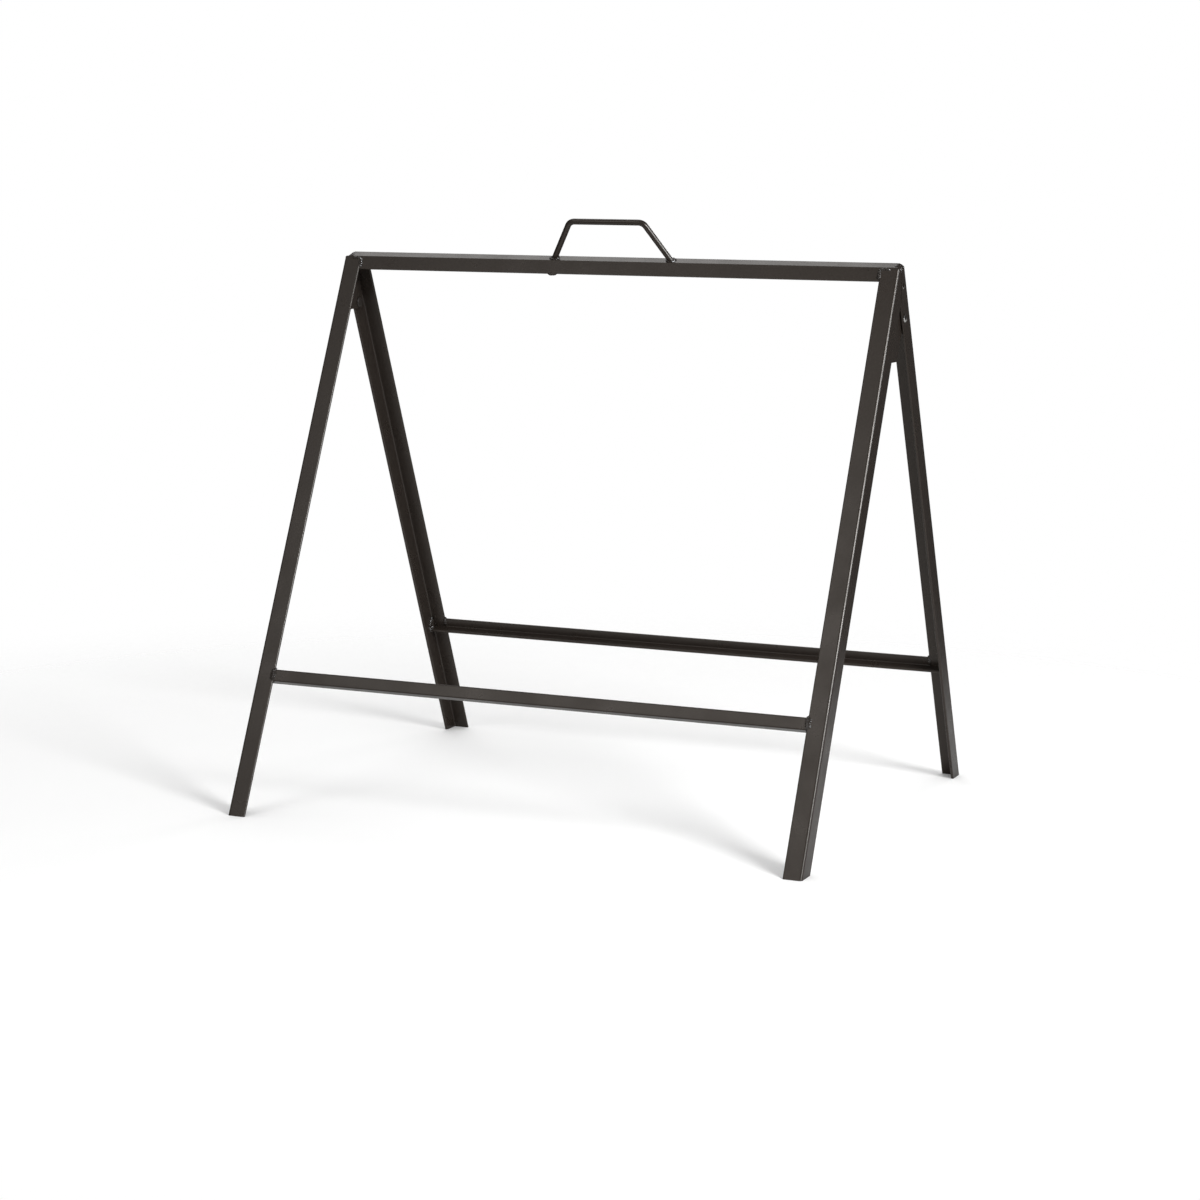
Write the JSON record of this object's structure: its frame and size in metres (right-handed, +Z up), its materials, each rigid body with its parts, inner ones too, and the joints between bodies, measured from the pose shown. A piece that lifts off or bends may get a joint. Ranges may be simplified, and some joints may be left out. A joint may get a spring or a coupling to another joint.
{
  "type": "a-frame sign holder",
  "caption": "Folding A-frame of welded angle-iron frames riveted together at the top, with ledges that hold sign panels back to back and a bent rod carrying handle.",
  "frame": {"origin": "on the floor, midway between the four feet of the open holder", "axes": "+X across the sign to the right as seen from the front, +Y from the front frame to the rear frame, +Z up"},
  "size_m": [0.6252, 0.5164, 0.6056],
  "materials": {
    "bronze_coat": "dark bronze powder coat, fine texture, satin",
    "rivet_steel": "plain steel, dull, partly coated"
  },
  "bodies": {
    "front_frame": {"front_right_leg": "bronze_coat", "front_left_leg": "bronze_coat", "front_top_bar": "bronze_coat", "front_lower_rail": "bronze_coat", "right_hinge_plate": "bronze_coat", "left_hinge_plate": "bronze_coat", "right_pivot_rivet": "rivet_steel", "left_pivot_rivet": "rivet_steel", "front_top_welds": "bronze_coat", "front_lower_welds": "bronze_coat", "hinge_plate_welds": "bronze_coat", "top_bar_drip": "bronze_coat"},
    "rear_frame": {"rear_left_leg": "bronze_coat", "rear_right_leg": "bronze_coat", "rear_top_rail": "bronze_coat", "rear_lower_rail": "bronze_coat", "handle": "bronze_coat", "handle_welds": "bronze_coat", "rear_top_welds": "bronze_coat", "rear_lower_welds": "bronze_coat"}
  },
  "joints": [
    {"name": "fold", "type": "hinge", "parent": "front_frame", "child": "rear_frame", "pos_m": [0, 0.01638, 0.5122], "axis": [-1, 0, 0], "range_deg": [0, 47.9]}
  ]
}
